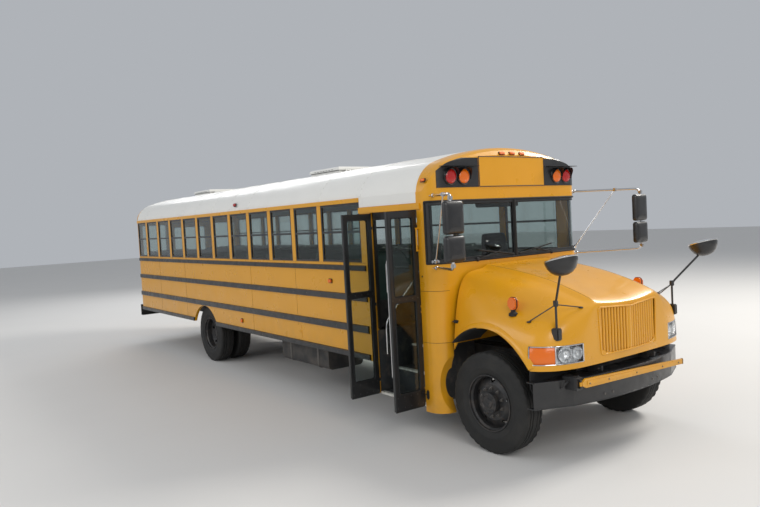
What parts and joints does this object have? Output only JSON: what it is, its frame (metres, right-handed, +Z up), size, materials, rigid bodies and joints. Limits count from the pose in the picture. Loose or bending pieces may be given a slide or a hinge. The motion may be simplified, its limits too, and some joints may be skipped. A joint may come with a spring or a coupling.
{
  "type": "school bus",
  "caption": "Long yellow school bus with a sloping hood, white roof, black rub rails, open split entrance door, outside mirrors, folded stop arm and twin rear wheels.",
  "frame": {"origin": "on the ground below the middle of the bounding box", "axes": "+X forward, +Y to the bus's left, +Z up; the entrance door is on the right side at -Y"},
  "size_m": [11.9399, 3.3, 3.215],
  "materials": {
    "body_yellow": "gloss",
    "roof_white": "gloss",
    "trim_black": "satin",
    "chassis_black": "satin",
    "engine_grey": "rough",
    "pipe_steel": "dull",
    "glass": "clear",
    "floor_grey": "matte",
    "seat_green": "satin",
    "seat_black": "matte",
    "dash_grey": "matte",
    "lamp_red": "gloss",
    "lamp_clear": "gloss",
    "grille_yellow": "gloss",
    "stop_red": "gloss",
    "tyre": "matte",
    "rim_black": "satin"
  },
  "bodies": {
    "body": {"barriers": "seat_green", "battery_box": "chassis_black", "chassis_frame": "chassis_black", "cowl": "body_yellow", "dash": "dash_grey", "drip_rails": "body_yellow", "drive_shaft": "chassis_black", "driver_seat": "seat_black", "engine_block": "engine_grey", "exhaust_pipe": "pipe_steel", "floor": "floor_grey", "front_axle": "chassis_black", "front_bumper": "trim_black", "front_cap": "body_yellow", "fuel_tank": "chassis_black", "lamp_panels": "trim_black", "left_wall": "body_yellow", "passenger_seats": "seat_green", "radiator": "engine_grey", "rear_axle": "chassis_black", "rear_bumper": "trim_black", "rear_wall": "body_yellow", "right_wall": "body_yellow", "roof": "roof_white", "rub_rails": "trim_black", "side_mirrors": "trim_black", "sign_panel": "body_yellow", "springs": "chassis_black", "steering_wheel": "dash_grey", "step_well": "floor_grey", "stop_arm_base": "trim_black", "warning_lamps": "lamp_red", "window_glass": "glass", "window_sashes": "trim_black", "windshield": "glass", "windshield_frame": "trim_black"},
    "hood": {"hood": "body_yellow", "headlamps": "lamp_clear", "grille": "grille_yellow", "crossover_mirrors": "trim_black"},
    "door_front": {"door_leaf_front": "trim_black", "door_glass_front": "glass"},
    "door_rear": {"door_leaf_rear": "trim_black", "door_glass_rear": "glass"},
    "emergency_door": {"emergency_door": "body_yellow", "emergency_glass": "glass"},
    "hatch_front": {"roof_hatch_front": "roof_white"},
    "hatch_rear": {"roof_hatch_rear": "roof_white"},
    "stop_arm": {"stop_arm": "stop_red"},
    "crossing_arm": {"crossing_arm": "body_yellow"},
    "knuckle_right": {"knuckle_right": "chassis_black"},
    "knuckle_left": {"knuckle_left": "chassis_black"},
    "front_wheel_right": {"front_tyre_right": "tyre", "front_rim_right": "rim_black"},
    "front_wheel_left": {"front_tyre_left": "tyre", "front_rim_left": "rim_black"},
    "rear_wheels_right": {"rear_tyres_right": "tyre", "rear_rims_right": "rim_black"},
    "rear_wheels_left": {"rear_tyres_left": "tyre", "rear_rims_left": "rim_black"}
  },
  "joints": [
    {"name": "hood_tilt", "type": "hinge", "parent": "body", "child": "hood", "pos_m": [5.68, 0, 0.862], "axis": [0, 1, 0], "range_deg": [0, 55]},
    {"name": "door_front_swing", "type": "hinge", "parent": "body", "child": "door_front", "pos_m": [3.964, -1.215, 1.4], "axis": [0, 0, -1], "range_deg": [0, 88]},
    {"name": "door_rear_swing", "type": "hinge", "parent": "body", "child": "door_rear", "pos_m": [3.133, -1.215, 1.4], "axis": [0, 0, 1], "range_deg": [0, 88]},
    {"name": "emergency_door_swing", "type": "hinge", "parent": "body", "child": "emergency_door", "pos_m": [-5.844, -0.476, 1.85], "axis": [0, 0, 1], "range_deg": [0, 100]},
    {"name": "hatch_front_lift", "type": "hinge", "parent": "body", "child": "hatch_front", "pos_m": [1.24, 0, 3.165], "axis": [0, 1, 0], "range_deg": [0, 40]},
    {"name": "hatch_rear_lift", "type": "hinge", "parent": "body", "child": "hatch_rear", "pos_m": [-3.6, 0, 3.165], "axis": [0, 1, 0], "range_deg": [0, 40]},
    {"name": "stop_arm_swing", "type": "hinge", "parent": "body", "child": "stop_arm", "pos_m": [3.63, 1.265, 1.57], "axis": [0, 0, -1], "range_deg": [0, 90]},
    {"name": "crossing_arm_swing", "type": "hinge", "parent": "body", "child": "crossing_arm", "pos_m": [5.765, -0.86, 0.795], "axis": [0, 0, -1], "range_deg": [0, 90]},
    {"name": "steer_right", "type": "hinge", "parent": "body", "child": "knuckle_right", "pos_m": [4.85, -0.84, 0.508], "axis": [0, 0, 1], "range_deg": [-35, 35]},
    {"name": "steer_left", "type": "hinge", "parent": "body", "child": "knuckle_left", "pos_m": [4.85, 0.84, 0.508], "axis": [0, 0, 1], "range_deg": [-35, 35]},
    {"name": "roll_front_right", "type": "hinge", "parent": "knuckle_right", "child": "front_wheel_right", "pos_m": [4.85, -1.018, 0.508], "axis": [0, 1, 0], "continuous": true},
    {"name": "roll_front_left", "type": "hinge", "parent": "knuckle_left", "child": "front_wheel_left", "pos_m": [4.85, 1.018, 0.508], "axis": [0, 1, 0], "continuous": true},
    {"name": "roll_rear_right", "type": "hinge", "parent": "body", "child": "rear_wheels_right", "pos_m": [-2.16, -0.856, 0.508], "axis": [0, 1, 0], "continuous": true},
    {"name": "roll_rear_left", "type": "hinge", "parent": "body", "child": "rear_wheels_left", "pos_m": [-2.16, 0.856, 0.508], "axis": [0, 1, 0], "continuous": true}
  ],
  "couplings": [
    {"joint": "door_rear_swing", "follows": "door_front_swing", "ratio": 1},
    {"joint": "steer_left", "follows": "steer_right", "ratio": 1}
  ]
}
